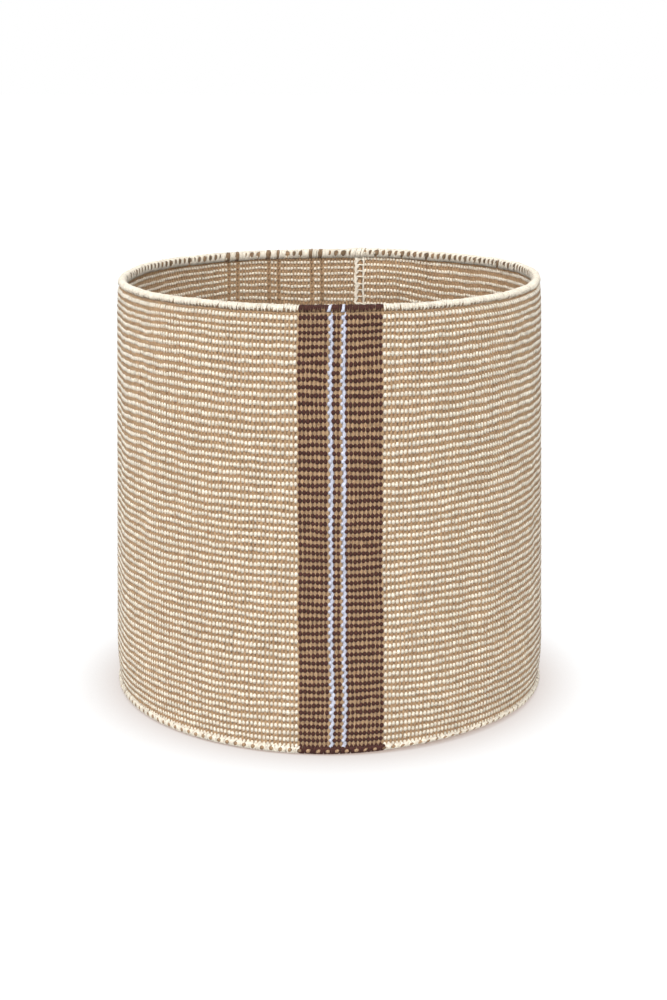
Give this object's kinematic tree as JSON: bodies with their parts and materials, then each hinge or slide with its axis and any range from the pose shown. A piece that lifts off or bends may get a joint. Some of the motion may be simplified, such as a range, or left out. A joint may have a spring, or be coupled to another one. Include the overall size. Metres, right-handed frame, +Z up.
{
  "type": "kiondo basket",
  "caption": "Open round floor basket of stiff warp-faced cloth, with an upright front stripe, a corded rim, a laced back seam and a flat whip-stitched base.",
  "frame": {"origin": "centre of the base's underside, on the surface that the basket stands on", "axes": "+Z up out of the open mouth; -Y towards the front, where the upright stripe is; +X to the viewer's right when facing the stripe"},
  "size_m": [0.3702, 0.3702, 0.3531],
  "materials": {
    "cream_yarn": "matt woven yarn",
    "tan_yarn": "matt woven yarn",
    "dark_brown_yarn": "matt woven yarn",
    "pale_blue_yarn": "matt woven yarn"
  },
  "bodies": {
    "root": {"base_disc": "cream_yarn", "foot_stitches_cream": "cream_yarn", "foot_stitches_brown": "dark_brown_yarn", "heading_cord": "tan_yarn", "seam_lacing_inside": "cream_yarn", "seam_lacing_outside": "cream_yarn", "wall_stripe_brown_left": "dark_brown_yarn", "wall_stripe_blue_left": "pale_blue_yarn", "wall_stripe_brown_middle": "dark_brown_yarn", "wall_stripe_blue_right": "pale_blue_yarn", "wall_stripe_brown_right": "dark_brown_yarn", "wall_field_right": "cream_yarn", "wall_selvedge_right": "cream_yarn", "wall_seam_joint": "tan_yarn", "wall_selvedge_left": "cream_yarn", "wall_back_band_1": "cream_yarn", "wall_back_line_1": "tan_yarn", "wall_back_band_2": "cream_yarn", "wall_back_line_2": "tan_yarn", "wall_back_band_3": "cream_yarn", "wall_back_line_3": "tan_yarn", "wall_back_band_4": "cream_yarn", "wall_back_line_4": "tan_yarn", "wall_back_band_5": "cream_yarn", "wall_back_line_5": "tan_yarn", "wall_back_band_6": "cream_yarn", "wall_back_line_6": "tan_yarn", "wall_field_left": "cream_yarn", "rim_stripe_brown_left": "dark_brown_yarn", "rim_stripe_blue_left": "pale_blue_yarn", "rim_stripe_brown_middle": "dark_brown_yarn", "rim_stripe_blue_right": "pale_blue_yarn", "rim_stripe_brown_right": "dark_brown_yarn", "rim_field_right": "cream_yarn", "rim_seam_wrap": "cream_yarn", "rim_back_band_1": "cream_yarn", "rim_back_line_1": "tan_yarn", "rim_back_band_2": "cream_yarn", "rim_back_line_2": "tan_yarn", "rim_back_band_3": "cream_yarn", "rim_back_line_3": "tan_yarn", "rim_back_band_4": "cream_yarn", "rim_back_line_4": "tan_yarn", "rim_back_band_5": "cream_yarn", "rim_back_line_5": "tan_yarn", "rim_back_band_6": "cream_yarn", "rim_back_line_6": "tan_yarn", "rim_field_left": "cream_yarn"}
  },
  "joints": []
}
